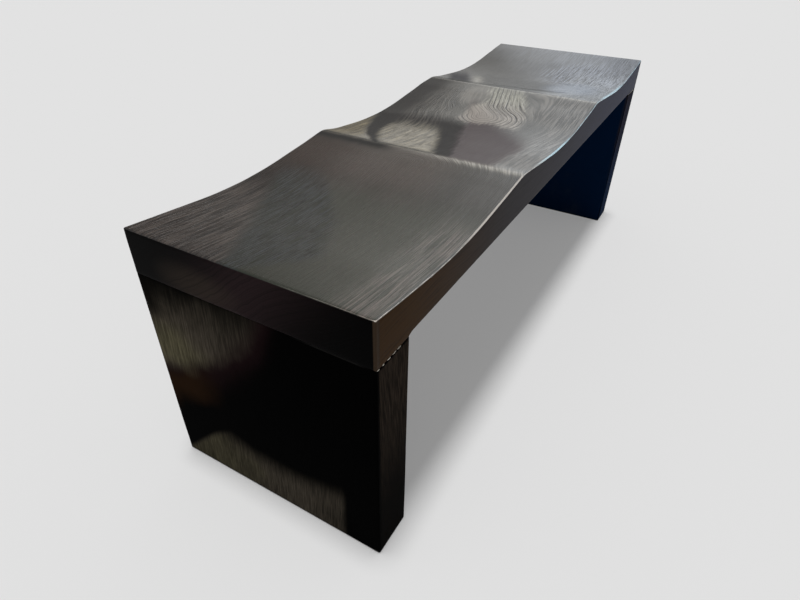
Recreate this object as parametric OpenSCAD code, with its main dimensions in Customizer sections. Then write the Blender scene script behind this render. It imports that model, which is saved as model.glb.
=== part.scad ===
// Slab bench with carved sitting places, in dark stained solid wood.
// Millimetres, +Z up. The origin is on the floor, under the middle of the bench.
// X runs along the bench and the front long side faces -Y.

/* [Bench] */
// Length of one sitting place, from crest to crest
seat_pitch = 450; // [380:5:520]
// Number of sitting places carved side by side
seat_count = 3; // [2:1:4]
// Depth of the bench from its front side to its back side
bench_depth = 405; // [300:5:500]
// Height above the floor of the lines where the carved slopes meet at a crest
seat_height = 450; // [380:5:520]

/* [Seat slab] */
// Thickness of the slab from the crests down to the joint with the legs
slab_thickness = 73; // [60:1:90]
// Depth of each carved hollow below the crests
dish_depth = 20; // [8:1:28]
// Straight slope on each side of a crest, measured along the slope
flank_run = 130; // [20:2:150]
// Radius of the rounded top of a crest
crest_radius = 70; // [20:10:200]
// How far the underside is planed up between the legs
relief_depth = 3; // [1:0.5:6]
// Run of the cove where the planed underside meets a leg
cove_run = 10; // [6:1:20]

/* [Legs] */
// Thickness of each slab leg along the bench
leg_thickness = 76; // [55:1:95]

/* [Edges] */
// Radius of the worn edges round the top of the seat
seat_edge_radius = 2.5; // [2:0.5:8]
// Radius of the upright corners of the slab and the legs
upright_edge_radius = 1.5; // [1:0.5:8]
// Radius of the edges round the foot of each leg
foot_edge_radius = 3; // [2:0.5:12]
// Radius of the two edges that meet at the joint line
joint_edge_radius = 1.2; // [0.4:0.2:3]

/* [Loose tenons] */
// Thickness of a tenon along the bench
tenon_thickness = 14; // [10:1:20]
// Width of a tenon across the bench
tenon_width = 60; // [40:2:76]
// Length of a tenon inside the leg
tenon_in_leg = 50; // [30:2:80]
// Length of a tenon inside the seat slab
tenon_in_slab = 38; // [20:1:44]
// Solid wood between an outer tenon and the side of the bench
tenon_edge_margin = 47.5; // [30:2.5:60]
// Gap all round a tenon in its mortise
tenon_clearance = 0.15; // [0.05:0.05:0.4]
// Room for glue above a tenon
glue_room = 1.5; // [0.5:0.5:4]
// Radius of the glue grooves down the faces of a tenon
groove_radius = 1; // [0.5:0.25:2]
// Distance between the glue grooves
groove_spacing = 12; // [8:1:20]
// Radius of the eased ends of a tenon
tenon_edge_radius = 1.5; // [0.5:0.5:3]

/* [Hidden] */

LEFT = -1;
RIGHT = 1;
FRONT = -1;
MIDDLE = 0;
BACK = 1;
STAIN = "#2d2826";
PALE_WOOD = "#b8925f";
// How far a cutting shape runs past the wood that it cuts
overrun = 10;
// Height of the waste above the crests, enough to clear every leaning cut
headroom = 60;
// Straight steps along one sitting place in the cuts that round the long edges
edge_steps_per_seat = 20;
// Leans, in degrees, of the cuts that round the long top edges of the seat
edge_leans = [30, 60];
$fn = 96;
// Segments of the very large circles, so that their chords stay fine
large_circle_steps = 720;

bench_length = seat_pitch * seat_count;
leg_height = seat_height - slab_thickness;
leg_centre = bench_length / 2 - leg_thickness / 2;
leg_inner_face = bench_length / 2 - leg_thickness;
cove_radius = (cove_run * cove_run + relief_depth * relief_depth) / (2 * relief_depth);
tenon_row_spacing = (bench_depth - tenon_width) / 2 - tenon_edge_margin;
tenon_height = tenon_in_leg + tenon_in_slab;
half_pitch = seat_pitch / 2;
// Radius of the round bottom of a hollow that its straight flanks touch smoothly
bottom_radius = (half_pitch * half_pitch + dish_depth * dish_depth - flank_run * flank_run)
                / (2 * dish_depth);
// Slope of the straight flanks, in degrees
flank_angle = atan2(half_pitch, bottom_radius - dish_depth) - atan2(flank_run, bottom_radius);
// Half width of the round bottom, and its height below the crests there
touch_x = bottom_radius * sin(flank_angle);
touch_z = bottom_radius - dish_depth - bottom_radius * cos(flank_angle);

// The square corner that a rounded edge leaves behind
module corner_waste(radius) {
    difference() {
        translate([-overrun, -overrun])
            square(radius + overrun);
        translate([radius, radius])
            circle(radius);
    }
}

// Rectangle with rounded lower corners and rounded upper corners
module eased_rectangle(width, height, low_radius, high_radius) {
    difference() {
        square([width, height]);
        for (side = [0, 1]) {
            translate([side * width, 0])
                mirror([side, 0])
                    corner_waste(low_radius);
            if (high_radius > 0)
                translate([side * width, height])
                    mirror([side, 0])
                        mirror([0, 1])
                            corner_waste(high_radius);
        }
    }
}

// Block standing on z = 0 in the middle of x and y, with rounded edges.
// Three outlines, seen from above, from the front and from the end, are swept
// through each other. A top radius of 0 leaves that pair of edges sharp.
module eased_block(length, depth, height, low_radius, end_top_radius, side_top_radius) {
    intersection() {
        translate([-length / 2, -depth / 2, -overrun])
            linear_extrude(height + 2 * overrun)
                eased_rectangle(length, depth, upright_edge_radius, upright_edge_radius);
        translate([-length / 2, depth / 2 + overrun, 0])
            rotate([90, 0, 0])
                linear_extrude(depth + 2 * overrun)
                    eased_rectangle(length, height, low_radius, end_top_radius);
        translate([-length / 2 - overrun, -depth / 2, 0])
            rotate([90, 0, 90])
                linear_extrude(length + 2 * overrun)
                    eased_rectangle(depth, height, low_radius, side_top_radius);
    }
}

// Side view of the wood taken out for one hollow: two straight flanks
// falling from the crests and a round bottom that they run into
module hollow_outline() {
    polygon([
        [-half_pitch, 0], [-touch_x, touch_z], [touch_x, touch_z], [half_pitch, 0],
        [half_pitch, overrun], [-half_pitch, overrun]
    ]);
    intersection() {
        translate([0, bottom_radius - dish_depth])
            circle(bottom_radius, $fn = large_circle_steps);
        translate([-touch_x, touch_z - 2 * dish_depth])
            square([2 * touch_x, 2 * dish_depth]);
    }
}

// Side view of the sliver taken off the top of one crest
module crest_waste() {
    half_width = crest_radius * sin(flank_angle);
    difference() {
        translate([-half_width, -half_width * tan(flank_angle)])
            square([2 * half_width, overrun]);
        translate([0, -crest_radius / cos(flank_angle)])
            circle(crest_radius, $fn = large_circle_steps);
    }
}

// The wood above the carved top, cut away across the bench
module seat_waste() {
    translate([0, bench_depth / 2 + overrun, slab_thickness])
        rotate([90, 0, 0])
            linear_extrude(bench_depth + 2 * overrun) {
                translate([-bench_length / 2 - overrun, 0])
                    square([bench_length + 2 * overrun, headroom]);
                for (place = [0:seat_count - 1])
                    translate([(place - (seat_count - 1) / 2) * seat_pitch, 0])
                        hollow_outline();
                for (crest = [1:seat_count - 1])
                    translate([(crest - seat_count / 2) * seat_pitch, 0])
                        crest_waste();
            }
}

// Height of the carved top beside the crests, as a negative number, at a
// place along the bench that is measured from the left end
function carved_height(along) =
    let (from_crest = min(along % seat_pitch, seat_pitch - along % seat_pitch))
    let (from_middle = half_pitch - from_crest)
    from_middle < touch_x
        ? bottom_radius - dish_depth - sqrt(bottom_radius * bottom_radius - from_middle * from_middle)
        : -from_crest * tan(flank_angle);

// A narrow cut along one long edge that leans outwards and touches a roll
// of seat_edge_radius, so that the edge follows the hollows
module edge_waste(lean) {
    rise = slab_thickness - seat_edge_radius;
    reach = bench_depth / 2 - seat_edge_radius;
    touch = rise * sin(lean) - reach * cos(lean);
    half_width = dish_depth + 3 * seat_edge_radius;
    steps = seat_count * edge_steps_per_seat;
    step = bench_length / steps;
    line = [for (k = [0:steps]) [k * step - bench_length / 2, carved_height(k * step) * cos(lean)]];
    rotate([lean, 0, 0])
        translate([0, touch + half_width, rise * cos(lean) + reach * sin(lean) + seat_edge_radius])
            rotate([90, 0, 0])
                linear_extrude(2 * half_width)
                    polygon(concat(
                        [[-bench_length / 2 - overrun, headroom], [-bench_length / 2 - overrun, 0]],
                        line,
                        [[bench_length / 2 + overrun, 0], [bench_length / 2 + overrun, headroom]]
                    ));
}

// Wood planed off the underside between the legs, with a cove at each end
module underside_relief() {
    flat_half = leg_inner_face - cove_run;
    translate([0, bench_depth / 2 + overrun, 0])
        rotate([90, 0, 0])
            linear_extrude(bench_depth + 2 * overrun) {
                translate([-flat_half, -overrun])
                    square([2 * flat_half, relief_depth + overrun]);
                for (side = [LEFT, RIGHT])
                    translate([side * flat_half, relief_depth - cove_radius])
                        circle(cove_radius);
            }
}

// Seen from above: a bar with round ends, as a slot cutter leaves it
module tenon_plan(clearance) {
    straight = tenon_width - tenon_thickness;
    square([tenon_thickness + 2 * clearance, straight], center = true);
    for (end = [FRONT, BACK])
        translate([0, end * straight / 2])
            circle(tenon_thickness / 2 + clearance);
}

// The mortises for the three tenons of one leg, from low to high
module mortises(low, high) {
    for (row = [FRONT, MIDDLE, BACK])
        translate([0, row * tenon_row_spacing, low])
            linear_extrude(high - low)
                tenon_plan(tenon_clearance);
}

module seat_slab() {
    color(STAIN)
        translate([0, 0, leg_height])
            difference() {
                eased_block(bench_length, bench_depth, slab_thickness,
                            joint_edge_radius, seat_edge_radius, 0);
                seat_waste();
                for (lean = edge_leans, side = [0, 1])
                    mirror([0, side, 0])
                        edge_waste(lean);
                underside_relief();
                for (side = [LEFT, RIGHT])
                    translate([side * leg_centre, 0, 0])
                        mortises(-overrun, tenon_in_slab + glue_room);
            }
}

module leg(side) {
    color(STAIN)
        translate([side * leg_centre, 0, 0])
            difference() {
                eased_block(leg_thickness, bench_depth, leg_height,
                            foot_edge_radius, joint_edge_radius, joint_edge_radius);
                mortises(leg_height - tenon_in_leg, leg_height + overrun);
            }
}

// A loose tenon stands on the floor of its mortise in the leg
module tenon(side, row) {
    color(PALE_WOOD)
        translate([side * leg_centre, row * tenon_row_spacing, leg_height - tenon_in_leg])
            difference() {
                intersection() {
                    linear_extrude(tenon_height)
                        tenon_plan(0);
                    translate([-tenon_thickness / 2, tenon_width, 0])
                        rotate([90, 0, 0])
                            linear_extrude(2 * tenon_width)
                                eased_rectangle(tenon_thickness, tenon_height,
                                                tenon_edge_radius, tenon_edge_radius);
                }
                for (face = [LEFT, RIGHT], groove = [-1, 0, 1])
                    translate([face * tenon_thickness / 2, groove * groove_spacing, -overrun])
                        cylinder(r = groove_radius, h = tenon_height + 2 * overrun);
            }
}

module left_leg() { leg(LEFT); }
module right_leg() { leg(RIGHT); }
module left_front_tenon() { tenon(LEFT, FRONT); }
module left_middle_tenon() { tenon(LEFT, MIDDLE); }
module left_back_tenon() { tenon(LEFT, BACK); }
module right_front_tenon() { tenon(RIGHT, FRONT); }
module right_middle_tenon() { tenon(RIGHT, MIDDLE); }
module right_back_tenon() { tenon(RIGHT, BACK); }

seat_slab();
left_leg();
right_leg();
left_front_tenon();
left_middle_tenon();
left_back_tenon();
right_front_tenon();
right_middle_tenon();
right_back_tenon();
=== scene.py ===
# %% [markdown]
# # A carved wooden bench
#
# The real object is a long backless bench in near-black stained solid wood. A thick slab is carved
# into three shallow sitting hollows, and it stands on two slabs that are as wide as the seat. This
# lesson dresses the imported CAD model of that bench: the CAD model says where everything is, and
# Blender adds the hand-worked shape of the surfaces, the finishes, the studio and the camera.

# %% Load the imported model
import math

import bpy
from mathutils import Matrix, Vector


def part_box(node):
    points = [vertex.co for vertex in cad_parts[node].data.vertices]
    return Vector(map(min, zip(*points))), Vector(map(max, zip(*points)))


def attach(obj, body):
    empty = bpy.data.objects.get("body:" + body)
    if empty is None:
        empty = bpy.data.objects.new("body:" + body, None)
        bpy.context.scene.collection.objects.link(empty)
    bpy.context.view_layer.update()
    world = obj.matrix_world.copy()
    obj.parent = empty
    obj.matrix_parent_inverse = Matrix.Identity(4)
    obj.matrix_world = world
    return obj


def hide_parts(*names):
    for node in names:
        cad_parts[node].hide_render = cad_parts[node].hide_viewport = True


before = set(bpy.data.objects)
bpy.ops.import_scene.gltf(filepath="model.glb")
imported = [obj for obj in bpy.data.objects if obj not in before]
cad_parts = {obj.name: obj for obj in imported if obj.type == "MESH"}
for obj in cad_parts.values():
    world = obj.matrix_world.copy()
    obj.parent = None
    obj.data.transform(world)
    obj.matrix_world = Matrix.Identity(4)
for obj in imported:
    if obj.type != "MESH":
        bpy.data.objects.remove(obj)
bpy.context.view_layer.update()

print("nodes:", ", ".join(sorted(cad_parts)))

# %% [markdown]
# ## Measures
#
# Lengths that a box can tell are measured from the CAD nodes, so they can't drift away from the
# CAD model. The few sizes inside a shape, such as the depth of a hollow, are written here in
# metres with the same values as in the CAD source.

# %% Measures
MM = 0.001
slab_low, slab_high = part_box("seat_slab")
leg_low, leg_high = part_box("left_leg")
tenon_low, tenon_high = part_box("left_front_tenon")

BENCH_LENGTH = slab_high.x - slab_low.x
BENCH_DEPTH = slab_high.y - slab_low.y
JOINT_HEIGHT = slab_low.z
LEG_THICKNESS = leg_high.x - leg_low.x
LEG_CENTRE = BENCH_LENGTH / 2 - LEG_THICKNESS / 2
SLAB_THICKNESS = 73 * MM
PLACES = 3
PLACE_LENGTH = BENCH_LENGTH / PLACES
HOLLOW_DEPTH = 20 * MM
SLOPE_RUN = 130 * MM
CREST_RADIUS = 70 * MM
RELIEF_DEPTH = 3 * MM
COVE_RUN = 10 * MM
SEAT_EDGE_RADIUS = 2.5 * MM
UPRIGHT_EDGE_RADIUS = 1.5 * MM
FOOT_EDGE_RADIUS = 3 * MM
JOINT_EDGE_RADIUS = 1.2 * MM
TENON_THICKNESS = tenon_high.x - tenon_low.x
TENON_WIDTH = tenon_high.y - tenon_low.y
TENON_TOP = tenon_high.z
TENON_BOTTOM = tenon_low.z
TENON_ROW = -(tenon_low.y + tenon_high.y) / 2
MORTISE_GAP = 0.15 * MM
GLUE_ROOM = 1.5 * MM

HALF_PLACE = PLACE_LENGTH / 2
BOTTOM_RADIUS = (HALF_PLACE**2 + HOLLOW_DEPTH**2 - SLOPE_RUN**2) / (2 * HOLLOW_DEPTH)
SLOPE = math.atan2(HALF_PLACE, BOTTOM_RADIUS - HOLLOW_DEPTH) - math.atan2(SLOPE_RUN, BOTTOM_RADIUS)
print(f"bench {BENCH_LENGTH:.3f} x {BENCH_DEPTH:.3f} m, joint at {JOINT_HEIGHT:.3f} m")
print(f"slopes fall at {math.degrees(SLOPE):.2f} degrees, tenon rows at {TENON_ROW:.4f} m")

# %% [markdown]
# ## Writing node trees as formulas
#
# Both the shape and the finish of this bench follow rules: the top is a curve that repeats, and the
# grain is rings round the heart of a tree. Rules are easiest to read as formulas, so a small helper
# class turns ordinary arithmetic into Math nodes, in a Geometry Nodes tree or in a material.

# %% A number that a node tree works out
def feed(tree, socket, value):
    """Link a socket or a Term to an input, or set its plain value."""
    if isinstance(value, Term):
        value = value.socket
    if isinstance(value, bpy.types.NodeSocket):
        tree.links.new(value, socket)
    else:
        socket.default_value = value


def feed_all(tree, node, inputs):
    """Feed inputs of a node, which are named or numbered."""
    for key, value in inputs.items():
        feed(tree, node.inputs[key], value)


def put(tree, kind, inputs=None, **settings):
    """Add a node, set it up and feed its inputs."""
    made = tree.nodes.new(kind)
    for name, value in settings.items():
        setattr(made, name, value)
    feed_all(tree, made, inputs or {})
    return made


def out(tree, kind, inputs=None, **settings):
    """Add a node and give its first output."""
    return put(tree, kind, inputs, **settings).outputs[0]


class Term:
    """A number in a node tree. Arithmetic on it adds Math nodes."""

    def __init__(self, tree, socket):
        self.tree = tree
        self.socket = socket

    def math(self, operation, *others):
        inputs = dict(enumerate((self, *others)))
        return Term(self.tree, out(self.tree, "ShaderNodeMath", inputs, operation=operation))

    def __add__(self, other):
        return self.math("ADD", other)

    def __mul__(self, other):
        return self.math("MULTIPLY", other)

    def __sub__(self, other):
        return self.math("SUBTRACT", other)

    def __truediv__(self, other):
        return self.math("DIVIDE", other)

    def __rsub__(self, other):
        return self * -1.0 + other

    __radd__ = __add__
    __rmul__ = __mul__

    def size(self):
        return self.math("ABSOLUTE")

    def root(self):
        return self.math("SQRT")

    def least(self, other):
        return self.math("MINIMUM", other)

    def most(self, other):
        return self.math("MAXIMUM", other)

    def below(self, other):
        return self.math("LESS_THAN", other)

    def sign(self):
        return self.math("SIGN")

    def fade(self, start, end, low=0.0, high=1.0):
        """Smooth step: low before start, high after end. start may be above end."""
        inputs = {0: self, 1: start, 2: end, 3: low, 4: high}
        return Term(self.tree, out(self.tree, "ShaderNodeMapRange", inputs, interpolation_type="SMOOTHSTEP"))


def between(share, first, second):
    """first where share is 0, second where it is 1."""
    return first + (second - first) * share


def parts(tree, vector):
    """The three numbers of a vector."""
    made = put(tree, "ShaderNodeSeparateXYZ", {0: vector})
    return [Term(tree, socket) for socket in made.outputs]


def whole(tree, x, y, z):
    """A vector from three numbers."""
    return out(tree, "ShaderNodeCombineXYZ", {0: x, 1: y, 2: z})


def noise(tree, place, scale, detail=2.0, roughness=0.5):
    """Noise from 0 to 1 at a place that three numbers give."""
    return Term(tree, out(tree, "ShaderNodeTexNoise", {
        "Vector": whole(tree, *place), "Scale": scale, "Detail": detail, "Roughness": roughness}))


def most_of(first, *others):
    """The largest of some numbers."""
    for other in others:
        first = first.most(other)
    return first


print("helpers for node trees are ready")

# %% [markdown]
# ## A worn block
#
# Slab and legs are all blocks with rounded edges, planed and rubbed by hand. Bevelling a cube would
# give edges that are too even, so the block is grown from a finely divided cube in Geometry Nodes:
# the outer cells of the cube wrap round an ellipse, and noise dents the edges a little. The formulas
# also say how near a point is to an edge, because stain wears off edges first.

# %% Formulas for a block with rounded, worn edges
EDGE_CELLS = 3
KNOCK_SCALE = 26.0


def wrapped(share_of_cube, cells):
    """Split a cube coordinate into a flat part and a turn round the edge, each from -1 to 1."""
    flat_end = 1.0 - 2.0 * EDGE_CELLS / cells
    far = share_of_cube.size()
    flat = (far / flat_end).least(1.0) * share_of_cube.sign()
    turn = ((far - flat_end) / (1.0 - flat_end)).most(0.0) * share_of_cube.sign()
    return flat, turn


def worn_block(tree, size, cells, upright_radius, top_radius, bottom_radius, dent_depth, seed):
    """Points of a block that stands on z = 0: where they are, how high they ride, how near an edge."""
    cube = put(tree, "GeometryNodeMeshCube", {"Size": (2.0, 2.0, 2.0), "Vertices X": cells[0] + 1,
                                              "Vertices Y": cells[1] + 1, "Vertices Z": cells[2] + 1})
    unit = parts(tree, out(tree, "GeometryNodeInputPosition"))
    (x_flat, x_turn), (y_flat, y_turn), (z_flat, z_turn) = [wrapped(u, n) for u, n in zip(unit, cells)]
    reach = (x_turn * x_turn + y_turn * y_turn + z_turn * z_turn).root()
    x_out, y_out, z_out = x_turn / reach, y_turn / reach, z_turn / reach
    upper = z_flat.fade(0.5, 1.0)
    lower = z_flat.fade(-0.5, -1.0)
    side_radius = upright_radius + (top_radius - upright_radius) * upper
    side_radius = side_radius + (bottom_radius - upright_radius) * lower
    ride = (z_flat + 1.0) * 0.5
    x = x_flat * (size[0] * 0.5 - side_radius) + x_out * side_radius
    y = y_flat * (size[1] * 0.5 - side_radius) + y_out * side_radius
    up_radius = between(ride.fade(0.49, 0.51), bottom_radius, top_radius)
    z = between(ride, bottom_radius, size[2] - top_radius) + z_out * up_radius
    edge = (x_turn * y_turn).size() + (y_turn * z_turn).size() + (z_turn * x_turn).size()
    knocks = noise(tree, (x, y, z + seed), KNOCK_SCALE, 3.0, 0.65).fade(0.56, 0.74)
    dent = knocks * edge.least(1.0) * dent_depth
    points = x - x_out * dent, y - y_out * dent, z - z_out * dent
    return cube.outputs["Mesh"], points, ride, edge, (x_out, y_out, z_out)


print("edges turn in", 2 * EDGE_CELLS, "steps")

# %% [markdown]
# ## Finishing a tree
#
# Every Geometry Nodes tree here has named inputs for its sizes. The first helper makes such a
# tree, and the second ends it. The last one puts it on an empty mesh, sets the inputs by their
# identifiers, and turns the result into a plain mesh, so that the piece can be exported.

# %% Make a tree with named inputs, and turn its result into a mesh
SHARP_FROM = math.radians(50)
SOCKETS = {float: "NodeSocketFloat", int: "NodeSocketInt", bpy.types.Material: "NodeSocketMaterial"}


def new_tree(title, inputs):
    """A Geometry Nodes tree with one input for each named value."""
    tree = bpy.data.node_groups.new(title, "GeometryNodeTree")
    tree.is_modifier = True
    for name, value in inputs.items():
        kind = next(socket for kind, socket in SOCKETS.items() if isinstance(value, kind))
        tree.interface.new_socket(name=name, in_out="INPUT", socket_type=kind)
    tree.interface.new_socket(name="Geometry", in_out="OUTPUT", socket_type="NodeSocketGeometry")
    entry = put(tree, "NodeGroupInput")
    given = {}
    for name, value in inputs.items():
        socket = entry.outputs[name]
        given[name] = Term(tree, socket) if isinstance(value, float) else socket
    return tree, given


def give_out(tree, geometry, *finishes):
    """End a tree: make its instances real and lay each finish where its selection is true."""
    geometry = out(tree, "GeometryNodeRealizeInstances", {0: geometry})
    for finish, where in finishes:
        geometry = out(tree, "GeometryNodeSetMaterial", {0: geometry, 1: where, 2: finish})
    put(tree, "NodeGroupOutput", {0: geometry})


def add_object(name, data):
    """A new object in the scene."""
    made = bpy.data.objects.new(name, data)
    bpy.context.scene.collection.objects.link(made)
    return made


def grow(name, tree, inputs):
    """Run the tree once and keep what it made as a plain mesh object at the origin."""
    holder = add_object(name + "_holder", bpy.data.meshes.new(name + "_holder"))
    modifier = holder.modifiers.new("Shape", "NODES")
    modifier.node_group = tree
    for item in tree.interface.items_tree:
        if item.in_out == "INPUT":
            modifier[item.identifier] = inputs[item.name]
    ready = holder.evaluated_get(bpy.context.evaluated_depsgraph_get())
    mesh = bpy.data.meshes.new_from_object(ready)
    mesh.name = name
    holder.modifiers.clear()
    bpy.data.objects.remove(holder)
    made = add_object(name, mesh)
    mesh.polygons.foreach_set("use_smooth", [True] * len(mesh.polygons))
    mesh.set_sharp_from_angle(angle=SHARP_FROM)
    triangles = sum(len(p.vertices) - 2 for p in mesh.polygons)
    finishes = ", ".join(finish.name for finish in mesh.materials if finish)
    print(f"{name}: {triangles} triangles in {finishes}")
    return made


print("inputs of a tree can be", ", ".join(kind.__name__ for kind in SOCKETS))

# %% [markdown]
# ## Loose tenons and their mortises
#
# Each leg holds the slab with three loose tenons: bars with round ends, half in the leg and half in
# the slab. They stay CAD nodes, because their shape is already exact. The pockets for them are cut
# here. One cutter is made, the hull of two short cylinders, and it is placed on every spot where a
# tenon stands, which is what instances are for.

# %% Cutters for the mortises
CUTTER_SIDES = 32


def mortise_cutters(tree, spots, low, high):
    """One slot-shaped cutter on each spot, reaching from low to high."""
    straight = TENON_WIDTH - TENON_THICKNESS
    end = out(tree, "GeometryNodeMeshCylinder",
              {"Vertices": CUTTER_SIDES, "Radius": TENON_THICKNESS / 2 + MORTISE_GAP, "Depth": high - low})
    two_ends = out(tree, "GeometryNodeMeshLine",
                   {"Count": 2, "Start Location": (0.0, -straight / 2, 0.0), "Offset": (0.0, straight, 0.0)})
    pair = out(tree, "GeometryNodeInstanceOnPoints", {"Points": two_ends, "Instance": end})
    solid = out(tree, "GeometryNodeConvexHull", {0: out(tree, "GeometryNodeRealizeInstances", {0: pair})})
    lifted = out(tree, "GeometryNodeTransform",
                 {"Geometry": solid, "Translation": (0.0, 0.0, (low + high) / 2)})
    placed = out(tree, "GeometryNodeInstanceOnPoints", {"Points": spots, "Instance": lifted})
    return out(tree, "GeometryNodeRealizeInstances", {0: placed})


def cut(tree, geometry, cutters):
    """The geometry without what the cutters reach."""
    return out(tree, "GeometryNodeMeshBoolean", {"Mesh 1": geometry, "Mesh 2": cutters},
               operation="DIFFERENCE", solver="MANIFOLD")


print("tenons are", round(TENON_WIDTH / MM), "by", round(TENON_THICKNESS / MM), "mm")

# %% [markdown]
# ## The carved seat slab
#
# The seat is the heart of this bench. Each hollow has a round bottom and two straight slopes that
# touch it smoothly, and the slopes of neighbours meet in a crest with a small round top. That is a
# rule, so Geometry Nodes shape it: every point of the block sinks by the depth of the carving at its
# place along the bench, fully at the top and not at all at the underside, so the long edges follow
# the hollows. A carver works by eye, so no hollow here is as deep as its neighbour, and the lowest
# line of a hollow may run a little askew from the front to the back.

# %% The carving as a formula
DEPTHS_BY_HAND = (0.91, 0.98, 0.97)
ASKEW_FRONT = (-10 * MM, 8 * MM, 12 * MM)
ASKEW_BACK = (0.0, -26 * MM, -8 * MM)
CREST_HOLD = 60 * MM
CREST_LIFT = 1.2 * MM
FAR_FROM_CREST = 200 * MM


def for_place(values, second, third):
    """The value of the sitting place that a point is in."""
    return second * (values[1] - values[0]) + third * (values[2] - values[1]) + values[0]


def carving(tree, x, y, given):
    """How far the top lies below the crests, as a negative number, and how far past a crest it is."""
    place, depth = given["Sitting place"], given["Hollow depth"]
    half = place * 0.5
    run, top_radius = given["Slope run"], given["Crest radius"]
    radius = (half * half + depth * depth - run * run) / (depth * 2.0)
    slope = half.math("ARCTAN2", radius - depth) - run.math("ARCTAN2", radius)
    steepness = slope.math("TANGENT")
    from_left = x + given["Length"] * 0.5
    straight = from_left.math("MODULO", place)
    second, third = place.below(from_left), (place * 2.0).below(from_left)
    askew = between(y / given["Depth"] + 0.5, for_place(ASKEW_FRONT, second, third),
                    for_place(ASKEW_BACK, second, third))
    along = straight - askew * straight.least(place - straight).fade(0.0, CREST_HOLD)
    from_crest = along.least(place - along)
    from_middle = half - from_crest
    bottom = radius - depth - (radius * radius - from_middle * from_middle).root()
    on_slope = (radius * slope.math("SINE")).below(from_middle)
    carved = between(on_slope, bottom, from_crest * steepness * -1.0)
    inside = x.size().below(given["Length"] * 0.5 - half)
    crown = (top_radius * top_radius - from_crest * from_crest).most(0.0).root()
    crown = crown - top_radius / slope.math("COSINE")
    on_crown = from_crest.below(top_radius * slope.math("SINE")) * inside
    carved = between(on_crown, carved, crown)
    lift = from_crest.fade(CREST_HOLD, 0.0) * inside * CREST_LIFT
    carved = carved * for_place(DEPTHS_BY_HAND, second, third) + lift
    past = between(straight.below(half), straight - place, straight)
    return carved, between(inside, FAR_FROM_CREST, past)


def underside(x, given):
    """How far the underside is planed up between the legs, with a cove at each end."""
    rise, run = given["Relief"], given["Cove run"]
    radius = (run * run + rise * rise) / (rise * 2.0)
    into_cove = (x.size() - (given["Length"] * 0.5 - given["Leg thickness"] - run)).most(0.0).least(run)
    planed = rise - radius + (radius * radius - into_cove * into_cove).root()
    return planed * x.size().below(given["Length"] * 0.5 - given["Leg thickness"])


print("carving formula for", PLACES, "places")

# %% Grow the seat slab
SLAB_CELLS = (372, 96, 18)
SLAB_WAVE_SCALE = 9.0
SURFACE_UNEVENNESS = 0.5 * MM
PLANED_DEEPER = 0.3
SIDE_WAVE = 0.6
CUTTER_OVERRUN = 10 * MM
FACING_UP = 0.35
SEAT_INPUTS = {
    "Length": BENCH_LENGTH, "Depth": BENCH_DEPTH, "Thickness": SLAB_THICKNESS,
    "Sitting place": PLACE_LENGTH, "Hollow depth": HOLLOW_DEPTH, "Slope run": SLOPE_RUN,
    "Crest radius": CREST_RADIUS, "Relief": RELIEF_DEPTH, "Cove run": COVE_RUN,
    "Leg thickness": LEG_THICKNESS, "Upright edge radius": UPRIGHT_EDGE_RADIUS,
    "Seat edge radius": SEAT_EDGE_RADIUS, "Joint edge radius": JOINT_EDGE_RADIUS,
    "Unevenness": SURFACE_UNEVENNESS, "Dents": 0.6 * MM, "Seed": 3.0,
}


def store(tree, geometry, name, value):
    """Keep a number on every point, for the finish to read."""
    return out(tree, "GeometryNodeStoreNamedAttribute",
               {"Geometry": geometry, "Name": name, "Value": value}, data_type="FLOAT", domain="POINT")


def seat_tree(seat_finish, side_finish):
    """The tree that grows the slab, and its inputs."""
    inputs = {**SEAT_INPUTS, "Seat finish": seat_finish, "Side finish": side_finish}
    tree, given = new_tree("Carved seat slab", inputs)
    size = (given["Length"], given["Depth"], given["Thickness"])
    block, (x, y, z), ride, edge, (_, y_out, z_out) = worn_block(
        tree, size, SLAB_CELLS, given["Upright edge radius"], given["Seat edge radius"],
        given["Joint edge radius"], given["Dents"], given["Seed"])
    carved, past = carving(tree, x, y, given)
    wave = (noise(tree, (x, y, z + given["Seed"]), SLAB_WAVE_SCALE) - 0.5) * given["Unevenness"]
    planed = given["Unevenness"] * PLANED_DEEPER
    z = z + carved * ride + underside(x, given) * (1.0 - ride)
    z = z + (wave - planed) * (z_out.most(0.0) * ride)
    y = y - y_out * (planed + wave * SIDE_WAVE)
    geometry = out(tree, "GeometryNodeSetPosition", {
        "Geometry": store(tree, store(tree, block, "edge", edge), "past_crest", past),
        "Position": whole(tree, x, y, z + JOINT_HEIGHT)})
    spots = out(tree, "GeometryNodeMeshGrid", {
        "Size X": 2 * LEG_CENTRE, "Size Y": 2 * TENON_ROW, "Vertices X": 2, "Vertices Y": 3})
    cutters = mortise_cutters(tree, spots, JOINT_HEIGHT - CUTTER_OVERRUN, TENON_TOP + GLUE_ROOM)
    geometry = cut(tree, geometry, cutters)
    up = parts(tree, out(tree, "GeometryNodeInputNormal"))[2]
    give_out(tree, geometry, (given["Side finish"], True),
             (given["Seat finish"], (FACING_UP - up).below(0.0)))
    return tree, inputs


print("the slab is divided into", SLAB_CELLS, "cells")

# %% [markdown]
# ## The two slab legs
#
# A leg is the same kind of block without a carving: softer edges round the foot, a crisp small edge
# at the joint line, and three pockets in its top. One tree grows both, with its place along the
# bench and its seed as inputs, so that no two legs are dented alike.

# %% Grow a leg
LEG_CELLS = (24, 84, 80)
LEG_WAVE_SCALE = 8.0


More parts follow.
